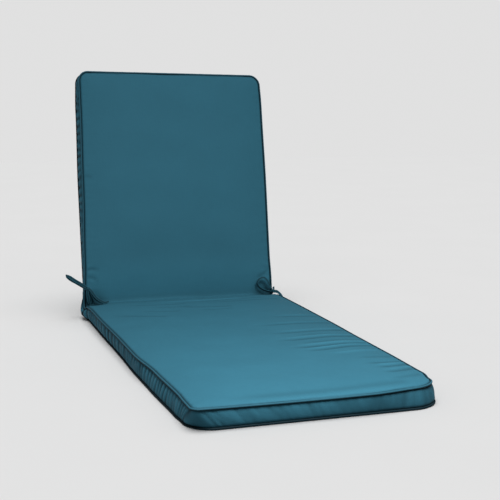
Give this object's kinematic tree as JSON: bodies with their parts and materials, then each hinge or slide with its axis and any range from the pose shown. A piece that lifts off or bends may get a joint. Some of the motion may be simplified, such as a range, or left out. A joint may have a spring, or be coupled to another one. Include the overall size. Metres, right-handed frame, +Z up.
{
  "type": "sun lounger cushion",
  "caption": "Boxed one-piece sun lounger cushion with piped edges and side ties, seat lying flat and back raised at the hip.",
  "frame": {"origin": "on the ground under the middle of the cushion's bounding box, ties left out", "axes": "+Z up from the ground, +Y from the foot towards the raised back, +X across to the right seen from the foot"},
  "size_m": [0.6973, 1.3374, 0.7524],
  "materials": {
    "cover_cloth": "petrol blue plain weave polyester with a soft sheen",
    "piping_cloth": "petrol blue corded piping, cut on the bias",
    "tie_cloth": "dark petrol blue folded and stitched ribbon"
  },
  "bodies": {
    "root": {"pad": "cover_cloth", "piping_front": "piping_cloth", "piping_rear": "piping_cloth", "tie_left_knot": "tie_cloth", "tie_left_root_a": "tie_cloth", "tie_left_root_b": "tie_cloth", "tie_left_loop": "tie_cloth", "tie_left_end_a": "tie_cloth", "tie_left_end_b": "tie_cloth", "tie_right_knot": "tie_cloth", "tie_right_root_a": "tie_cloth", "tie_right_root_b": "tie_cloth", "tie_right_loop": "tie_cloth", "tie_right_end_a": "tie_cloth", "tie_right_end_b": "tie_cloth"}
  },
  "joints": []
}
